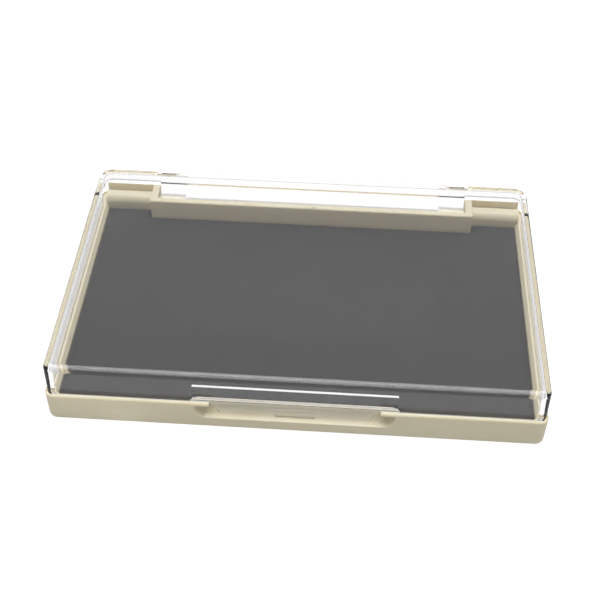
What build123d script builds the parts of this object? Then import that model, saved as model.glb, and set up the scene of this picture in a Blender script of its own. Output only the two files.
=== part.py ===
from build123d import *
import math
import os

os.makedirs("parts", exist_ok=True)

# A stamp ink pad: a moulded tray that holds a cloth-covered pad, and a clear lid hinged along the back.
# Millimetres. The origin is the middle of the underside, +Y points to the hinge and +Z is up.
# The object is closed as modelled, and is the same on its left and right.

# Overall
WIDTH = 138.0
DEPTH = 88.0
HEIGHT = 21.0

# Tray
RIM_Z = 10.5
RIM_LIP = 0.8
SIDE_LIP = 0.4
RABBET_DEPTH = 0.7
WALL = 3.2
WALL_FLARE = 0.85
FLOOR = 1.8
REAR_WALL = 1.6
FRONT_CORNER = 2.5
REAR_CORNER = 4.5
BOTTOM_ROUND = 2.0
RIM_ROUND = 0.7

# Hinge, whose axis lies along X
AXIS_Y = 39.6
AXIS_Z = 10.0
BAR_RADIUS = 2.5
PIN_RADIUS = 1.5
PIN_FIT = 0.02
PIN_RUNNING = 0.06
PIN_INNER_X = 41.4
PIN_SOCKET = 0.5
KNUCKLE_RADIUS = 2.35
KNUCKLE_INNER_X = 41.0
TRAY_SWING = 4.75
LID_SWING = 5.05

# Hinge block, which stands across the back of the tray with a bay open to the rear
BLOCK_HALF = 51.4
BLOCK_FRONT = 33.6
BLOCK_Z = 14.5
BLOCK_ROUND = 0.6
BAY_HALF = 49.3
BAY_FRONT = 35.3
BAY_FLOOR = 4.6
GATE_X = 1.0
GATE_RADIUS = 0.6
GATE_HEIGHT = 0.25

# Finger scoop in the front wall, and the bulge behind it
SCOOP_HALF = 27.5
SCOOP_LOW = 4.8
SCOOP_BEND = 8.8
SCOOP_TOP = 9.6
SCOOP_DEPTH = 2.9
TAB_SLOT_HALF = 23.5
BULGE_HALF = 28.4
BULGE_REAR = -40.2
BULGE_CORNER = 2.0

# Underside
PANEL_INSET = 6.0
PANEL_DEPTH = 0.5
PANEL_CORNER = 3.0
POCKET_HALF = 48.0
POCKET_FRONT = BAY_FRONT + 0.1
POCKET_REAR = 42.0
POCKET_HEIGHT = 3.2
POCKET_COUNT = 4
POCKET_RIB = 1.5

# Lid
LID_STEP = 0.9
LID_SIDE_STEP = 0.5
LID_GAP = 0.05
LID_WALL = 1.4
LID_TOP = 2.0
LID_DRAFT = 1.6
LID_TOP_ROUND = 1.6
LID_INNER_ROUND = 1.0
LID_REAR_Z = 15.8
TONGUE_HALF = 49.0
TONGUE_Z = 9.4
TONGUE_FRONT = 40.8
LEDGE_HALF = 28.0
LEDGE_Z = 15.7
LEDGE_PROUD = 0.9
TAB_TOP_HALF = 23.25
TAB_LOW_HALF = 20.5
TAB_Z = 6.2
TAB_SHOULDER = 0.4
TAB_BEVEL = 0.4
TAB_THICK = 0.8
TAB_GAP = 0.25
NIB_HALF = 5.5
NIB_Z = 5.9
NIB_LOW = 7.5
NIB_HIGH = 8.5
NIB_PROUD = 0.2
RELIEF_DEPTH = 1.3
RELIEF_FRONT = 40.4
RELIEF_OUTER = 50.0
RELIEF_INNER = 40.8
RELIEF_SLANT = 3.0

# Pad
PAD_GAP = 0.15
PAD_TOP = 8.3
PAD_REAR = AXIS_Y - BAR_RADIUS - 0.2
PAD_CORNER = 1.5
CLOTH = 0.4
CORE_GAP = 0.05
ADHESIVE = 0.2
PLATE = 1.0
FELT = 0.7
STRIP_LENGTH = 112.0
STRIP_WIDTH = 10.0
STRIP_PITCH = 24.0

FRONT = -DEPTH / 2
REAR = DEPTH / 2
SIDE = WIDTH / 2
INNER_SIDE = SIDE - WALL
INNER_FRONT = FRONT + WALL
INNER_REAR = REAR - REAR_WALL
RABBET_Z = RIM_Z - RABBET_DEPTH
BAR_OUTER_X = INNER_SIDE + WALL_FLARE
LID_LOW = RABBET_Z + LID_GAP
FAR = 100.0


def block(x0, x1, y0, y1, z0, z1):
    """Box between two corners."""
    middle = Pos((x0 + x1) / 2, (y0 + y1) / 2, (z0 + z1) / 2)
    return middle * Box(x1 - x0, y1 - y0, z1 - z0)


def rod(x0, x1, radius):
    """Cylinder on the hinge axis."""
    return Pos((x0 + x1) / 2, AXIS_Y, AXIS_Z) * Rot(0, 90, 0) * Cylinder(radius, x1 - x0)


def both_sides(solid):
    """A solid and its mirror image across the middle plane."""
    return solid + mirror(solid, about=Plane.YZ)


def outline(half_width, front, rear, front_round, rear_round):
    """Rectangle in plan, with one radius on its front corners and one on its rear corners."""
    shape = Pos(0, (front + rear) / 2) * Rectangle(2 * half_width, rear - front)
    shape = fillet(shape.vertices().group_by(Axis.Y)[0], front_round)
    return fillet(shape.vertices().group_by(Axis.Y)[-1], rear_round)


def scoop_cutter():
    """Concave finger recess: a profile run along the front wall, and turned through its two ends."""
    lower = TangentArc((SCOOP_DEPTH, SCOOP_BEND), (0, SCOOP_LOW), tangent=(0, -1))
    rest = Polyline(
        (0, SCOOP_LOW), (0, SCOOP_TOP), (SCOOP_DEPTH, SCOOP_TOP), (SCOOP_DEPTH, SCOOP_BEND)
    )
    profile = make_face([lower, rest])
    straight_half = SCOOP_HALF - SCOOP_DEPTH
    front_plane = Plane(origin=(-straight_half, FRONT, 0), x_dir=(0, 1, 0), z_dir=(1, 0, 0))
    middle = extrude(front_plane * profile, 2 * straight_half)
    end = revolve(front_plane * profile, Axis((-straight_half, FRONT, 0), (0, 0, 1)), 360)
    return middle + end + Pos(2 * straight_half, 0, 0) * end


def well_cutter():
    """Space inside the tray: the well for the pad, flared at the top, and the rabbet for the lid's edge."""
    rear_round = REAR_CORNER - REAR_WALL
    well = outline(INNER_SIDE, INNER_FRONT, INNER_REAR - WALL_FLARE, PAD_CORNER, rear_round)
    flare_height = RABBET_Z - PAD_TOP
    flare_angle = math.degrees(math.atan(WALL_FLARE / flare_height))
    rabbet = outline(SIDE - SIDE_LIP, FRONT + RIM_LIP, INNER_REAR, FRONT_CORNER - RIM_LIP, rear_round)
    cutter = Pos(0, 0, FLOOR) * extrude(well, HEIGHT)
    cutter += Pos(0, 0, PAD_TOP) * extrude(well, flare_height, taper=-flare_angle)
    return cutter + Pos(0, 0, RABBET_Z) * extrude(rabbet, HEIGHT)


def pin_bar():
    """Round bar between the block and the right-hand wall, which holds the hinge pin, and its root."""
    bar = rod(BLOCK_HALF, BAR_OUTER_X, BAR_RADIUS)
    return bar + block(BLOCK_HALF, INNER_SIDE, AXIS_Y - BAR_RADIUS, INNER_REAR, FLOOR / 2, AXIS_Z)


def hinge_block():
    """Rear block with its open bay, rounded behind so that the lid can swing over it."""
    solid = block(-BLOCK_HALF, BLOCK_HALF, BLOCK_FRONT, REAR, BOTTOM_ROUND, BLOCK_Z)
    front_top = solid.edges().filter_by(Axis.X).group_by(Axis.Z)[-1].sort_by(Axis.Y)[0]
    solid = fillet(front_top, BLOCK_ROUND)
    swing_room = rod(-FAR, FAR, TRAY_SWING)
    swing_room += block(-FAR, FAR, 0, AXIS_Y, 0, HEIGHT)
    swing_room += block(-FAR, FAR, 0, REAR, 0, AXIS_Z)
    gate = Pos(GATE_X, (BLOCK_FRONT + BAY_FRONT) / 2, BLOCK_Z) * Cylinder(GATE_RADIUS, 2 * GATE_HEIGHT)
    root = block(-BLOCK_HALF, BLOCK_HALF, BLOCK_FRONT, INNER_REAR, FLOOR / 2, BAY_FLOOR)
    return (solid & swing_room) + gate + root


def underside_cutters():
    """Shallow panel under the floor, and cored pockets under the hinge bay."""
    panel_rear = BLOCK_FRONT - PANEL_INSET / 2
    panel = outline(SIDE - PANEL_INSET, FRONT + PANEL_INSET, panel_rear, PANEL_CORNER, PANEL_CORNER)
    cutters = extrude(panel, PANEL_DEPTH)
    pitch = 2 * POCKET_HALF / POCKET_COUNT
    for index in range(POCKET_COUNT):
        left = -POCKET_HALF + index * pitch + POCKET_RIB / 2
        right = left + pitch - POCKET_RIB
        cutters += block(left, right, POCKET_FRONT, POCKET_REAR, 0, POCKET_HEIGHT)
    return cutters


def make_tray():
    """Moulded tray with its rear block, pin bars, finger scoop and front bulge."""
    plan = outline(SIDE, FRONT, REAR, FRONT_CORNER, REAR_CORNER)
    tray = extrude(plan, RIM_Z)
    tray = fillet(tray.faces().sort_by(Axis.Z)[0].edges(), BOTTOM_ROUND)
    tray = fillet(tray.faces().sort_by(Axis.Z)[-1].edges(), RIM_ROUND)
    tray += extrude(plan, AXIS_Z + TRAY_SWING) & rod(-BAR_OUTER_X, BAR_OUTER_X, TRAY_SWING)
    tray -= well_cutter()

    tray += hinge_block()
    tray += both_sides(pin_bar())
    tray -= block(-BAY_HALF, BAY_HALF, BAY_FRONT, FAR, BAY_FLOOR, HEIGHT)
    tray -= both_sides(rod(BAY_HALF - WALL, INNER_SIDE + PIN_SOCKET, PIN_RADIUS + PIN_FIT))

    bulge_front = FRONT + SCOOP_DEPTH / 4
    bulge = outline(BULGE_HALF, bulge_front, BULGE_REAR, BULGE_CORNER / 8, BULGE_CORNER)
    tray += Pos(0, 0, BOTTOM_ROUND) * extrude(bulge, RIM_Z - BOTTOM_ROUND)
    tray -= scoop_cutter()
    slot_rear = FRONT + LID_STEP + TAB_THICK + TAB_GAP
    tray -= block(-TAB_SLOT_HALF, TAB_SLOT_HALF, -FAR, slot_rear, SCOOP_BEND, HEIGHT)
    return tray - underside_cutters()


def lid_height_above(z):
    """Distance from a level up to the top of the lid."""
    return HEIGHT - z


def drafted(half, z):
    """Half size of the lid's outside at a level, from its half size at the tray's rim."""
    return half - (z - RIM_Z) * math.tan(math.radians(LID_DRAFT))


def lid_half_width(z):
    """Half width of the lid at a level."""
    return drafted(SIDE - LID_SIDE_STEP, z)


def lid_half_depth(z):
    """Half depth of the lid at a level."""
    return drafted(REAR - LID_STEP, z)


def lid_shell():
    """Drafted cover, hollow and open below, reaching down to the foot of the tab's nib."""
    outer_plan = outline(
        lid_half_width(NIB_Z), -lid_half_depth(NIB_Z), lid_half_depth(NIB_Z), FRONT_CORNER, REAR_CORNER
    )
    inner_plan = outline(
        lid_half_width(NIB_Z) - LID_WALL,
        LID_WALL - lid_half_depth(NIB_Z),
        lid_half_depth(NIB_Z) - LID_WALL,
        FRONT_CORNER - LID_WALL / 2,
        REAR_CORNER - LID_WALL,
    )
    outer = extrude(outer_plan, lid_height_above(NIB_Z), taper=LID_DRAFT)
    outer = fillet(outer.faces().sort_by(Axis.Z)[-1].edges(), LID_TOP_ROUND)
    inner = extrude(inner_plan, lid_height_above(NIB_Z) - LID_TOP, taper=LID_DRAFT)
    inner = fillet(inner.faces().sort_by(Axis.Z)[-1].edges(), LID_INNER_ROUND)
    return Pos(0, 0, NIB_Z) * (outer - inner)


def tab_zone():
    """Space that the front tab keeps below the lid's edge: a trapezium with a lower middle."""
    tab = Polyline(
        (-TAB_TOP_HALF, RIM_Z + 1),
        (-TAB_TOP_HALF, RIM_Z - TAB_SHOULDER),
        (-TAB_LOW_HALF, TAB_Z),
        (TAB_LOW_HALF, TAB_Z),
        (TAB_TOP_HALF, RIM_Z - TAB_SHOULDER),
        (TAB_TOP_HALF, RIM_Z + 1),
        close=True,
    )
    zone = extrude(Plane.XZ * make_face(tab), FAR)
    return zone + block(-NIB_HALF, NIB_HALF, -FAR, 0, NIB_Z, RIM_Z)


def bulge_room():
    """Room for the tray's bulge under the lid's front wall and behind the tab."""
    half = BULGE_HALF + RIM_LIP / 4
    above_bulge = RIM_Z + LID_GAP
    behind_tab = block(-half, half, -lid_half_depth(RIM_Z) + TAB_THICK, 0, 0, above_bulge)
    sides = block(TAB_TOP_HALF, half, -FAR, 0, 0, above_bulge)
    return behind_tab + both_sides(sides)


def relief_cutter():
    """Shallow trapezoidal recess in the lid's rear top edge, above a knuckle."""
    shape = Polyline(
        (RELIEF_INNER, REAR),
        (RELIEF_INNER + RELIEF_SLANT, RELIEF_FRONT),
        (RELIEF_OUTER - RELIEF_SLANT / 8, RELIEF_FRONT),
        (RELIEF_OUTER, REAR),
        close=True,
    )
    return Pos(0, 0, HEIGHT - RELIEF_DEPTH) * extrude(make_face(shape), RELIEF_DEPTH)


def make_lid():
    """Clear cover with its front tab and ledge, rear tongue and two hinge knuckles."""
    lid = lid_shell()
    tongue_zone = block(-TONGUE_HALF, TONGUE_HALF, 0, FAR, TONGUE_Z, LID_LOW)
    below = block(-FAR, FAR, -FAR, FAR, 0, LID_LOW)
    lid -= below - tab_zone() - tongue_zone
    lid -= bulge_room()

    corner_room = rod(TONGUE_HALF, FAR, LID_SWING) + block(TONGUE_HALF, FAR, AXIS_Y, FAR, 0, LID_REAR_Z)
    lid -= both_sides(corner_room)

    wall_middle = lid_half_depth(AXIS_Z) - LID_WALL / 2
    lid += block(-TONGUE_HALF, TONGUE_HALF, TONGUE_FRONT, wall_middle, TONGUE_Z, LID_REAR_Z)
    lid += both_sides(rod(KNUCKLE_INNER_X, TONGUE_HALF, KNUCKLE_RADIUS))
    lid -= both_sides(rod(KNUCKLE_INNER_X - WALL, TONGUE_HALF + WALL, PIN_RADIUS + PIN_RUNNING))
    lid -= both_sides(relief_cutter())
    ledge_front = -lid_half_depth(LEDGE_Z) + LID_WALL / 2
    ledge_rear = FRONT + LID_STEP + LID_WALL + LEDGE_PROUD
    lid += block(-LEDGE_HALF, LEDGE_HALF, ledge_front, ledge_rear, RIM_Z + LEDGE_PROUD / 2, LEDGE_Z)

    tab_face = -lid_half_depth(TAB_Z)
    bevel = block(-FAR, FAR, -TAB_BEVEL, TAB_BEVEL, -TAB_BEVEL, TAB_BEVEL)
    lid -= Pos(0, tab_face, TAB_Z) * Rot(45, 0, 0) * bevel - block(-NIB_HALF, NIB_HALF, -FAR, 0, 0, RIM_Z)
    nib_inner = tab_face + TAB_THICK + NIB_PROUD
    return lid + block(-NIB_HALF, NIB_HALF, tab_face + TAB_THICK / 2, nib_inner, NIB_LOW, NIB_HIGH)


def make_pin():
    """Right-hand hinge pin, bevelled at its inner end."""
    pin = rod(PIN_INNER_X, INNER_SIDE + PIN_SOCKET, PIN_RADIUS)
    inner_rim = pin.edges().sort_by(Axis.X)[0]
    return chamfer(inner_rim, PIN_RADIUS / 5)


def pad_plan(inset):
    """Plan of the pad: the tray's inside, cut round the hinge block and the front bulge."""
    half_width = INNER_SIDE - PAD_GAP - inset
    front = INNER_FRONT + PAD_GAP + inset
    rear = PAD_REAR - inset
    plan = outline(half_width, front, rear, PAD_CORNER, PAD_CORNER / 2)
    notch_half = BLOCK_HALF + PAD_GAP + inset
    notch_front = BLOCK_FRONT - PAD_GAP - inset
    plan -= Pos(0, notch_front + REAR / 2) * Rectangle(2 * notch_half, REAR)
    bulge_half = BULGE_HALF + PAD_GAP + inset
    bulge_rear = BULGE_REAR + PAD_GAP + inset
    return plan - Pos(0, bulge_rear - REAR / 2) * Rectangle(2 * bulge_half, REAR)


def pad_slab(inset, bottom, top):
    """Layer of the pad between two levels."""
    return Pos(0, 0, bottom) * extrude(pad_plan(inset), top - bottom)


def make_adhesive():
    """Strips that hold the backing plate to the floor."""
    strips = []
    for row in (-1, 0, 1):
        y = row * STRIP_PITCH
        strips.append(Pos(0, y, FLOOR + ADHESIVE / 2) * Box(STRIP_LENGTH, STRIP_WIDTH, ADHESIVE))
    return Compound(children=strips)


plate_low = FLOOR + ADHESIVE
plate_top = plate_low + PLATE
felt_top = PAD_TOP - CLOTH
felt_low = felt_top - FELT
core_inset = CLOTH + CORE_GAP
right_pin = make_pin()

parts = {
    "base_tray": make_tray(),
    "clear_lid": make_lid(),
    "hinge_pin_right": right_pin,
    "hinge_pin_left": mirror(right_pin, about=Plane.YZ),
    "ink_cloth": pad_slab(0, plate_low, PAD_TOP) - pad_slab(CLOTH, plate_low, felt_top),
    "felt_layer": pad_slab(core_inset, felt_low, felt_top),
    "foam_core": pad_slab(core_inset, plate_top, felt_low),
    "backing_plate": pad_slab(core_inset, plate_low, plate_top),
    "adhesive_strips": make_adhesive(),
}

for name, solid in parts.items():
    export_step(solid, f"parts/{name}.step")
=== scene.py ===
"""A stamp ink pad: a cream tray, a black cloth pad and a clear hinged lid, lit by a plain white studio."""
import math

import bmesh
import bpy
from mathutils import Matrix, Vector


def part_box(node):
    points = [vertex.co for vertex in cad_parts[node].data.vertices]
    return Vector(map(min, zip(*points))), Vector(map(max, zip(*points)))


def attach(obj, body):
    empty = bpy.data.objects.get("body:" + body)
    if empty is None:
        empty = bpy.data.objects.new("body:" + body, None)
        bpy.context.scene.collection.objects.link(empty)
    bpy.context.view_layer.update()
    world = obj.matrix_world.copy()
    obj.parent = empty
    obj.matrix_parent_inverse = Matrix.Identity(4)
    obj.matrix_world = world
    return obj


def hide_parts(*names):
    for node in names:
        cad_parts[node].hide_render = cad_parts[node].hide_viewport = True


MM = 0.001

# Camera, round the middle of the object
CAMERA_AZIMUTH = 2.97
CAMERA_ELEVATION = 45.62
CAMERA_ROLL = 0.856
CAMERA_DISTANCE = 324.6 * MM
CAMERA_AIM = (-1.05 * MM, -2.32 * MM, 10.5 * MM)
CAMERA_LENS = 65.26
SENSOR_WIDTH = 36.0
CLIP_START = 10 * MM

# Light: the sky's strengths, and where between them it changes, along Y from front to back and along Z overhead
SKY_BACK = 0.86
SKY_FRONT = 0.36
SKY_FRONT_END = -0.8
SKY_BACK_START = 0.6
SKY_TOP = 6.6
SKY_TOP_EDGE = 0.86
SKY_TOP_CORE = 0.97
FLOOR_GREY = (0.18, 0.18, 0.18, 1.0)
FLOOR_GLOW = 0.98
FLOOR_BOUNCE = 0.30
FLOOR_MIRRORED = 0.25
FLOOR_SIZE = 4.0

# Rough white edge of the ledge inside the lid's front wall: a painted highlight line
LEDGE_HALF = 28.1 * MM
LEDGE_FRONT = -42.2 * MM
LEDGE_REAR = -40.7 * MM
LEDGE_LOW = 15.45 * MM
LEDGE_HIGH = 15.8 * MM

# Colours
CREAM_DARK = (0.745, 0.675, 0.485)
CREAM_LIGHT = (0.775, 0.710, 0.525)
CREAM_IOR = 1.5
CREAM_SCATTER = (1.0, 0.8, 0.5)
CREAM_SCATTER_WEIGHT = 0.3
CREAM_SCATTER_DEPTH = 1.6 * MM
CLEAR_TINT = (0.975, 0.972, 0.978, 1.0)
CLEAR_SHADE = (0.93, 0.93, 0.93, 1.0)
CLEAR_IOR = 1.57
# White of the ledge's rough strip, a painted highlight
LEDGE_HIGHLIGHT_TINT = (0.92, 0.92, 0.92, 1.0)
INK_DARK = (0.010, 0.010, 0.011)
INK_LIGHT = (0.026, 0.025, 0.028)
SOAKED = (0.66, 0.66, 0.68, 1.0)
BOARD_DARK = (0.66, 0.66, 0.64)
BOARD_LIGHT = (0.74, 0.74, 0.72)
TAPE_DARK = (0.78, 0.76, 0.68)
TAPE_LIGHT = (0.86, 0.84, 0.77)

# Pad
CELL = 1.8 * MM
EDGE_ROUND = 1.1 * MM
EDGE_LINES = (0.25 * MM, 0.6 * MM, 1.1 * MM)
CLOTH_THICKNESS = 0.35 * MM
CROWN = 0.22 * MM
THREAD_PITCH = 0.36 * MM
SIM_FRAMES = 14
SIM_PRESSURE = 3.0
SIM_STIFFNESS = 30.0
SIM_BENDING = 5.0

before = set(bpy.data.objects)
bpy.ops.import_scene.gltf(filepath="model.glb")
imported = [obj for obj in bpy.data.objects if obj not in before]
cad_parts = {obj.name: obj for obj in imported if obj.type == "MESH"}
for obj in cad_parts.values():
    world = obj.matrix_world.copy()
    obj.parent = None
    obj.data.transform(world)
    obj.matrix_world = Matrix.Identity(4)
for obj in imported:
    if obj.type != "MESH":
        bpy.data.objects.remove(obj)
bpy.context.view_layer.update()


# ---------------------------------------------------------------- node helpers
def map_range(tree, factor, low, high, new_low, new_high):
    """Node that maps a value from one range to another, and clamps it."""
    made = tree.nodes.new("ShaderNodeMapRange")
    tree.links.new(factor, made.inputs["Value"])
    for name, value in (("From Min", low), ("From Max", high), ("To Min", new_low), ("To Max", new_high)):
        made.inputs[name].default_value = value
    return made


class Shader:
    """A material under construction: adds nodes and joins them."""

    def __init__(self, name):
        self.material = bpy.data.materials.new(name)
        self.material.use_nodes = True
        self.tree = self.material.node_tree
        self.tree.nodes.clear()
        self.output = self.tree.nodes.new("ShaderNodeOutputMaterial")
        self.place = self.tree.nodes.new("ShaderNodeTexCoord").outputs["Object"]

    def link(self, source, target):
        self.tree.links.new(source, target)

    def node(self, kind, **inputs):
        """Adds a node. Inputs named in lower case are sockets, given a value or another node's output."""
        made = self.tree.nodes.new(kind)
        for name, value in inputs.items():
            socket = made.inputs["IOR" if name == "ior" else name.replace("_", " ").title()]
            if isinstance(value, bpy.types.NodeSocket):
                self.link(value, socket)
            else:
                socket.default_value = value
        return made

    def math(self, operation, *values):
        made = self.tree.nodes.new("ShaderNodeMath")
        made.operation = operation
        for socket, value in zip(made.inputs, values):
            if isinstance(value, bpy.types.NodeSocket):
                self.link(value, socket)
            else:
                socket.default_value = value
        return made.outputs[0]

    def noise(self, size, detail=3.0, roughness=0.5, vector=None):
        """Noise whose features are about the given size, in metres."""
        made = self.node("ShaderNodeTexNoise", scale=1.0 / size, detail=detail, roughness=roughness)
        self.link(vector or self.place, made.inputs["Vector"])
        return made.outputs["Fac"]

    def ramp(self, factor, *stops):
        """Colour ramp through (position, colour) stops."""
        made = self.tree.nodes.new("ShaderNodeValToRGB")
        self.link(factor, made.inputs["Fac"])
        elements = made.color_ramp.elements
        while len(elements) < len(stops):
            elements.new(1.0)
        for element, (position, colour) in zip(elements, stops):
            element.position = position
            element.color = (*colour, 1.0)
        return made.outputs["Color"]

    def spread(self, factor, low, high, new_low, new_high):
        """A value mapped from one range to another, and clamped."""
        return map_range(self.tree, factor, low, high, new_low, new_high).outputs["Result"]

    def bump(self, height, distance, strength=1.0, normal=None):
        made = self.node("ShaderNodeBump", strength=strength, distance=distance)
        self.link(height, made.inputs["Height"])
        if normal is not None:
            self.link(normal, made.inputs["Normal"])
        return made.outputs["Normal"]

    def principled(self, **values):
        return self.node("ShaderNodeBsdfPrincipled", **values)

    def finish(self, shader):
        self.link(shader, self.output.inputs["Surface"])
        return self.material


# ---------------------------------------------------------------- materials
def cream_plastic():
    """Moulded ivory plastic: satin, faintly mottled, with a fine moulded texture."""
    s = Shader("cream_plastic")
    mottle = s.noise(18 * MM, detail=2.0)
    colour = s.ramp(mottle, (0.3, CREAM_DARK), (0.7, CREAM_LIGHT))
    texture = s.noise(0.35 * MM, detail=4.0, roughness=0.65)
    waves = s.noise(9 * MM, detail=1.0)
    roughness = s.spread(s.noise(2.5 * MM, detail=4.0), 0.3, 0.7, 0.30, 0.42)
    normal = s.bump(waves, 0.06 * MM, 0.35)
    normal = s.bump(texture, 0.012 * MM, 0.5, normal)
    shader = s.principled(base_color=colour, roughness=roughness, ior=CREAM_IOR, normal=normal)
    shader.inputs["Subsurface Weight"].default_value = CREAM_SCATTER_WEIGHT
    shader.inputs["Subsurface Radius"].default_value = CREAM_SCATTER
    shader.inputs["Subsurface Scale"].default_value = CREAM_SCATTER_DEPTH
    return s.finish(shader.outputs[0])


def ledge_highlight_mask(s):
    """1 on the upper edge of the ledge inside the lid's front wall, where a rough white strip paints a
    highlight line, and 0 elsewhere.
    """
    parts = s.node("ShaderNodeSeparateXYZ")
    s.link(s.place, parts.inputs[0])
    across = s.math("LESS_THAN", s.math("ABSOLUTE", parts.outputs[0]), LEDGE_HALF)
    behind = s.math("GREATER_THAN", parts.outputs[1], LEDGE_FRONT)
    before = s.math("LESS_THAN", parts.outputs[1], LEDGE_REAR)
    above = s.math("GREATER_THAN", parts.outputs[2], LEDGE_LOW)
    below = s.math("LESS_THAN", parts.outputs[2], LEDGE_HIGH)
    inside = s.math("MULTIPLY", s.math("MULTIPLY", behind, before), s.math("MULTIPLY", above, below))
    return s.math("MULTIPLY", across, inside)


def clear_plastic():
    """Polished clear styrene with hairline scratches; lamps and bounced light pass straight through it."""
    s = Shader("clear_plastic")
    stretch = s.node("ShaderNodeMapping", scale=(1.0, 0.04, 1.0), rotation=(0.0, 0.0, 0.5))
    s.link(s.place, stretch.inputs["Vector"])
    hairlines = s.noise(0.5 * MM, detail=6.0, roughness=0.7, vector=stretch.outputs[0])
    ripple = s.noise(26 * MM, detail=1.0)
    scratch = s.spread(hairlines, 0.66, 0.72, 0.0, 1.0)
    roughness = s.spread(scratch, 0.0, 1.0, 0.015, 0.10)
    normal = s.bump(ripple, 0.10 * MM, 0.25)
    glass = s.principled(base_color=CLEAR_TINT, roughness=roughness, ior=CLEAR_IOR, normal=normal)
    glass.inputs["Transmission Weight"].default_value = 1.0
    # Rough white strip on the ledge's upper edge: a painted highlight line
    painted_highlight = s.principled(base_color=LEDGE_HIGHLIGHT_TINT, roughness=0.6)
    body = s.node("ShaderNodeMixShader")
    s.link(ledge_highlight_mask(s), body.inputs[0])
    s.link(glass.outputs[0], body.inputs[1])
    s.link(painted_highlight.outputs[0], body.inputs[2])
    clear = s.node("ShaderNodeBsdfTransparent", color=CLEAR_SHADE)
    path = s.tree.nodes.new("ShaderNodeLightPath")
    passes = s.math("MAXIMUM", path.outputs["Is Shadow Ray"], path.outputs["Is Diffuse Ray"])
    mix = s.node("ShaderNodeMixShader")
    s.link(passes, mix.inputs[0])
    s.link(body.outputs[0], mix.inputs[1])
    s.link(clear.outputs[0], mix.inputs[2])
    return s.finish(mix.outputs[0])


def plain_weave(s, pitch):
    """Height of a plain weave in plan, 0 to 1, from its two sets of threads."""
    wander = s.node("ShaderNodeTexNoise", scale=1.0 / (9 * pitch), detail=2.0)
    s.link(s.place, wander.inputs["Vector"])
    shift = s.node("ShaderNodeVectorMath")
    shift.operation = "MULTIPLY_ADD"
    s.link(wander.outputs["Color"], shift.inputs[0])
    shift.inputs[1].default_value = (0.7 * pitch,) * 3
    s.link(s.place, shift.inputs[2])
    parts = s.node("ShaderNodeSeparateXYZ")
    s.link(shift.outputs[0], parts.inputs[0])
    heights = []
    x, y = parts.outputs[0], parts.outputs[1]
    for across, along, offset in ((x, y, 0.0), (y, x, 1.0)):
        u = s.math("DIVIDE", across, pitch)
        v = s.math("DIVIDE", along, pitch)
        round_thread = s.math("ABSOLUTE", s.math("SINE", s.math("MULTIPLY", u, math.pi)))
        phase = s.math("ADD", s.math("FLOOR", u), offset)
        turns = s.math("ADD", s.math("ADD", v, phase), 0.5 * offset - 0.25)
        over = s.math("SINE", s.math("MULTIPLY", turns, math.pi))
        lift = s.math("MULTIPLY_ADD", over, 0.5, 0.5)
        heights.append(s.math("MULTIPLY", s.math("POWER", round_thread, 0.6), lift))
    return s.math("MAXIMUM", heights[0], heights[1])


def inked_cloth():
    """Fine woven cover, soaked in black ink."""
    s = Shader("inked_cloth")
    weave = plain_weave(s, THREAD_PITCH)
    soak = s.noise(22 * MM, detail=3.0)
    lint = s.noise(0.8 * MM, detail=5.0, roughness=0.7)
    # Colour follows the weave's height: lighter on thread tops, darker in the gaps between them, which is
    # painted shade
    threads = s.ramp(weave, (0.15, INK_DARK), (0.9, INK_LIGHT))
    shade = s.node("ShaderNodeMix")
    shade.data_type = "RGBA"
    shade.blend_type = "MULTIPLY"
    s.link(s.spread(soak, 0.35, 0.65, 0.2, 0.8), shade.inputs[0])
    s.link(threads, shade.inputs[6])
    shade.inputs[7].default_value = SOAKED
    roughness = s.spread(soak, 0.35, 0.65, 0.72, 0.5)
    normal = s.bump(lint, 0.04 * MM, 0.3)
    normal = s.bump(weave, 0.05 * MM, 0.6, normal)
    shader = s.principled(base_color=shade.outputs[2], roughness=roughness, normal=normal)
    shader.inputs["Specular IOR Level"].default_value = 0.35
    shader.inputs["Sheen Weight"].default_value = 0.15
    shader.inputs["Sheen Roughness"].default_value = 0.4
    return s.finish(shader.outputs[0])


def inked_fibre(name, size, tone):
    """Felt or foam darkened by ink: rough, with pores or fibres of the given size."""
    s = Shader(name)
    pores = s.node("ShaderNodeTexVoronoi", scale=1.0 / size)
    s.link(s.place, pores.inputs["Vector"])
    fine = s.noise(size / 2, detail=5.0)
    light = (tone, tone, tone * 1.1)
    dark = (tone / 4, tone / 4, tone / 4)
    colour = s.ramp(pores.outputs["Distance"], (0.1, light), (0.8, dark))
    normal = s.bump(fine, size / 3, 0.6)
    shader = s.principled(base_color=colour, roughness=0.9, normal=normal)
    shader.inputs["Specular IOR Level"].default_value = 0.2
    return s.finish(shader.outputs[0])


def backing_board():
    """Plain sheet plastic, greyish white, with fine rolled lines."""
    s = Shader("backing_board")
    stretch = s.node("ShaderNodeMapping", scale=(0.03, 1.0, 1.0))
    s.link(s.place, stretch.inputs["Vector"])
    lines = s.noise(0.6 * MM, detail=3.0, vector=stretch.outputs[0])
    colour = s.ramp(lines, (0.3, BOARD_DARK), (0.7, BOARD_LIGHT))
    shader = s.principled(base_color=colour, roughness=0.55, normal=s.bump(lines, 0.02 * MM, 0.4))
    return s.finish(shader.outputs[0])


def tape():
    """Double-sided tape with trapped air."""
    s = Shader("tape")
    bubbles = s.node("ShaderNodeTexVoronoi", scale=1.0 / (1.5 * MM))
    s.link(s.place, bubbles.inputs["Vector"])
    colour = s.ramp(bubbles.outputs["Distance"], (0.1, TAPE_DARK), (0.4, TAPE_LIGHT))
    roughness = s.spread(bubbles.outputs["Distance"], 0.1, 0.5, 0.25, 0.5)
    shader = s.principled(base_color=colour, roughness=roughness)
    return s.finish(shader.outputs[0])


def paint(obj, material):
    """Gives an object one material on all its faces."""
    obj.data.materials.clear()
    obj.data.materials.append(material)


def smooth(obj, degrees=32):
    """Smooth shading, with edges sharper than the angle kept crisp."""
    for face in obj.data.polygons:
        face.use_smooth = True
    obj.data.set_sharp_from_angle(angle=math.radians(degrees))


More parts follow.
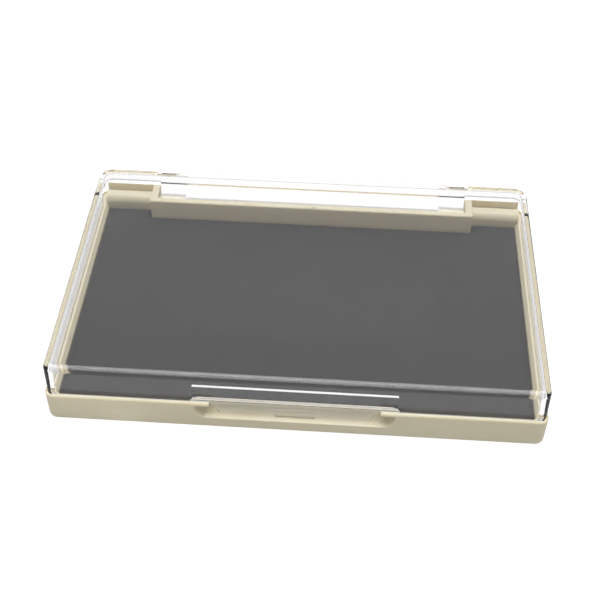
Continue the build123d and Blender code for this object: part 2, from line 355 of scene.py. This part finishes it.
# ---------------------------------------------------------------- pad
def steps(breaks, size):
    """Grid lines through every break, evenly spaced between them and at most the given size apart."""
    breaks = sorted(breaks)
    lines = [breaks[0]]
    for low, high in zip(breaks, breaks[1:]):
        count = max(1, math.ceil((high - low) / size))
        lines += [low + (high - low) * (index + 1) / count for index in range(count)]
    return lines


class PadShape:
    """Plan of the pad, read from a CAD layer: a rectangle with a notch behind and one in front."""

    def __init__(self, node):
        self.low, self.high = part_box(node)
        half = self.high.x
        points = [v.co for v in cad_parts[node].data.vertices if abs(v.co.x) < 0.9 * half]
        rear = [p for p in points if p.y > 0]
        front = [p for p in points if p.y < 0]
        self.half = half
        self.rear_half = max(abs(p.x) for p in rear)
        self.rear_y = min(p.y for p in rear)
        self.front_half = max(abs(p.x) for p in front)
        self.front_y = max(p.y for p in front)

    def lines(self, size, edges):
        """Grid lines across and along, with extra ones just inside every edge."""
        xs = [-self.half, self.half]
        ys = [self.low.y, self.front_y, self.rear_y, self.high.y]
        for side in (-1, 1):
            xs += [side * self.rear_half, side * self.front_half]
            for edge in edges:
                xs += [side * (self.half - edge), side * (self.rear_half + edge)]
                xs.append(side * (self.front_half + edge))
        for edge in edges:
            ys += [self.low.y + edge, self.front_y + edge, self.rear_y - edge, self.high.y - edge]
        return steps(xs, size), steps(ys, size)

    def depth(self, x, y):
        """Distance in from the outline, below zero outside it."""
        inside = min(self.half - abs(x), y - self.low.y, self.high.y - y)
        past_rear = (abs(x) - self.rear_half, self.rear_y - y)
        past_front = (abs(x) - self.front_half, y - self.front_y)
        for across, along in (past_rear, past_front):
            if across > 0 and along > 0:
                inside = min(inside, math.hypot(across, along))
            else:
                inside = min(inside, max(across, along))
        return inside


def rounded_drop(depth, radius):
    """How far a rounded edge lies below the top, at a distance in from the outline."""
    if depth >= radius:
        return 0.0
    return radius - math.sqrt(max(0.0, radius * radius - (radius - max(depth, 0.0)) ** 2))


def pad_mesh(name, shape, edge_round, size, closed):
    """Slab in the pad's plan: a top with rounded edges, straight sides, and a closed or open underside."""
    xs, ys = shape.lines(size, EDGE_LINES if edge_round else ())
    bottom, top = shape.low.z, shape.high.z
    mesh = bmesh.new()
    grid = {}

    def corner(i, j):
        if (i, j) not in grid:
            drop = rounded_drop(shape.depth(xs[i], ys[j]), edge_round)
            grid[i, j] = mesh.verts.new((xs[i], ys[j], top - drop))
        return grid[i, j]

    for i in range(len(xs) - 1):
        for j in range(len(ys) - 1):
            if shape.depth((xs[i] + xs[i + 1]) / 2, (ys[j] + ys[j + 1]) / 2) > 0:
                mesh.faces.new((corner(i, j), corner(i + 1, j), corner(i + 1, j + 1), corner(i, j + 1)))
    edge = [e for e in mesh.edges if e.is_boundary]
    start = top - edge_round
    levels = steps([bottom, start], size)[:-1] if start > bottom else [bottom]
    for level in reversed(levels):
        made = bmesh.ops.extrude_edge_only(mesh, edges=edge)["geom"]
        for vert in (g for g in made if isinstance(g, bmesh.types.BMVert)):
            vert.co.z = level
        edge = [g for g in made if isinstance(g, bmesh.types.BMEdge) and g.is_boundary]
    if closed:
        bmesh.ops.contextual_create(mesh, geom=edge)
    bmesh.ops.recalc_face_normals(mesh, faces=mesh.faces)
    data = bpy.data.meshes.new(name)
    mesh.to_mesh(data)
    mesh.free()
    made = bpy.data.objects.new(name, data)
    bpy.context.scene.collection.objects.link(made)
    return made


def swell(piece, shape):
    """Cloth simulation: the cover, held round its edge, is pressed up, and its rise is scaled down to CROWN."""
    held = piece.vertex_groups.new(name="held")
    for vert in piece.data.vertices:
        on_top = vert.co.z > shape.high.z - EDGE_ROUND / 20
        if not on_top or shape.depth(vert.co.x, vert.co.y) < EDGE_ROUND:
            held.add([vert.index], 1.0, "REPLACE")
    cloth = piece.modifiers.new("cloth", "CLOTH")
    cloth.settings.vertex_group_mass = "held"
    cloth.settings.use_pressure = True
    cloth.settings.uniform_pressure_force = SIM_PRESSURE
    cloth.settings.effector_weights.gravity = 0.0
    cloth.settings.tension_stiffness = SIM_STIFFNESS
    cloth.settings.compression_stiffness = SIM_STIFFNESS
    cloth.settings.bending_stiffness = SIM_BENDING
    cloth.point_cache.frame_end = SIM_FRAMES
    scene = bpy.context.scene
    for number in range(1, SIM_FRAMES + 1):
        scene.frame_set(number)
    graph = bpy.context.evaluated_depsgraph_get()
    result = piece.evaluated_get(graph).data
    rises = [after.co.z - before.co.z for after, before in zip(result.vertices, piece.data.vertices)]
    scale = CROWN / max(CROWN, max(rises))
    piece.modifiers.remove(cloth)
    piece.vertex_groups.remove(held)
    for vert, rise in zip(piece.data.vertices, rises):
        vert.co.z += max(0.0, rise) * scale
    scene.frame_set(1)


def make_cover(shape):
    """Woven cover: swollen a little by the foam, and as thick as its cloth."""
    cover = pad_mesh("pad_cover", shape, EDGE_ROUND, CELL, closed=False)
    swell(cover, shape)
    thick = cover.modifiers.new("thickness", "SOLIDIFY")
    thick.thickness = CLOTH_THICKNESS
    thick.offset = -1.0
    return cover


def make_layer(name, node, material):
    """Layer inside the pad, in its CAD solid's place."""
    layer = pad_mesh(name, PadShape(node), 0.0, 3 * CELL, closed=True)
    paint(layer, material)
    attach(layer, "tray")
    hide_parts(node)
    return layer


shape = PadShape("ink_cloth")
cream = cream_plastic()
for node in ("base_tray", "hinge_pin_left", "hinge_pin_right"):
    paint(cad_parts[node], cream)
    smooth(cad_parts[node])
paint(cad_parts["clear_lid"], clear_plastic())
smooth(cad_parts["clear_lid"])
paint(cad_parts["backing_plate"], backing_board())
paint(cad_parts["adhesive_strips"], tape())
make_layer("felt", "felt_layer", inked_fibre("inked_felt", 0.3 * MM, 0.05))
make_layer("foam", "foam_core", inked_fibre("inked_foam", 0.8 * MM, 0.06))

cover = make_cover(shape)
paint(cover, inked_cloth())
smooth(cover, 60)
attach(cover, "tray")
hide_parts("ink_cloth")


# ---------------------------------------------------------------- studio
def make_floor():
    """White floor, which looks darker where the object mirrors it and lights the object weakly."""
    mesh = bpy.data.meshes.new("floor")
    half = FLOOR_SIZE / 2
    corners = [(-half, -half, 0), (half, -half, 0), (half, half, 0), (-half, half, 0)]
    mesh.from_pydata(corners, [], [(0, 1, 2, 3)])
    floor = bpy.data.objects.new("floor", mesh)
    bpy.context.scene.collection.objects.link(floor)
    s = Shader("pale_floor")
    path = s.tree.nodes.new("ShaderNodeLightPath")
    glow = s.node("ShaderNodeEmission", color=(1.0, 1.0, 1.0, 1.0))
    not_through = s.math("SUBTRACT", 1.0, path.outputs["Is Transmission Ray"])
    mirrored = s.math("MULTIPLY", path.outputs["Is Glossy Ray"], not_through)
    seen = s.spread(mirrored, 0.0, 1.0, FLOOR_GLOW, FLOOR_MIRRORED)
    lit = s.math("MULTIPLY", seen, s.math("SUBTRACT", 1.0, path.outputs["Is Diffuse Ray"]))
    bounce = s.math("MULTIPLY", FLOOR_BOUNCE, path.outputs["Is Diffuse Ray"])
    s.link(s.math("ADD", lit, bounce), glow.inputs["Strength"])
    matte = s.node("ShaderNodeBsdfDiffuse", color=FLOOR_GREY)
    both = s.node("ShaderNodeAddShader")
    s.link(glow.outputs[0], both.inputs[0])
    s.link(matte.outputs[0], both.inputs[1])
    paint(floor, s.finish(both.outputs[0]))


def make_sky():
    """White light from all round, weaker from the front, with a strong soft patch overhead."""
    world = bpy.data.worlds.new("studio")
    bpy.context.scene.world = world
    world.use_nodes = True
    tree = world.node_tree
    tree.nodes.clear()
    direction = tree.nodes.new("ShaderNodeTexCoord").outputs["Generated"]
    parts = tree.nodes.new("ShaderNodeSeparateXYZ")
    tree.links.new(direction, parts.inputs[0])
    ramp = map_range(tree, parts.outputs[1], SKY_FRONT_END, SKY_BACK_START, SKY_FRONT, SKY_BACK)
    top = map_range(tree, parts.outputs[2], SKY_TOP_EDGE, SKY_TOP_CORE, 0.0, SKY_TOP - SKY_BACK)
    for node in (ramp, top):
        node.interpolation_type = "SMOOTHSTEP"
    total = tree.nodes.new("ShaderNodeMath")
    tree.links.new(ramp.outputs["Result"], total.inputs[0])
    tree.links.new(top.outputs["Result"], total.inputs[1])
    background = tree.nodes.new("ShaderNodeBackground")
    tree.links.new(total.outputs[0], background.inputs["Strength"])
    output = tree.nodes.new("ShaderNodeOutputWorld")
    tree.links.new(background.outputs[0], output.inputs["Surface"])


def make_camera():
    """Camera that looks at the aim point from the given azimuth and elevation, with a little roll."""
    azimuth = math.radians(CAMERA_AZIMUTH)
    elevation = math.radians(CAMERA_ELEVATION)
    roll = math.radians(CAMERA_ROLL)
    back = Vector((
        math.sin(azimuth) * math.cos(elevation),
        -math.cos(azimuth) * math.cos(elevation),
        math.sin(elevation),
    ))
    right = Vector((0, 0, 1)).cross(back).normalized()
    up = back.cross(right)
    rolled_right = math.cos(roll) * right + math.sin(roll) * up
    rolled_up = math.cos(roll) * up - math.sin(roll) * right
    data = bpy.data.cameras.new("camera")
    data.lens = CAMERA_LENS
    data.sensor_width = SENSOR_WIDTH
    data.clip_start = CLIP_START
    camera = bpy.data.objects.new("camera", data)
    turn = Matrix((rolled_right, rolled_up, back)).transposed().to_4x4()
    camera.matrix_world = Matrix.Translation(Vector(CAMERA_AIM) + CAMERA_DISTANCE * back) @ turn
    bpy.context.scene.collection.objects.link(camera)
    bpy.context.scene.camera = camera


make_floor()
make_sky()
make_camera()
bpy.context.scene.view_settings.view_transform = "Standard"
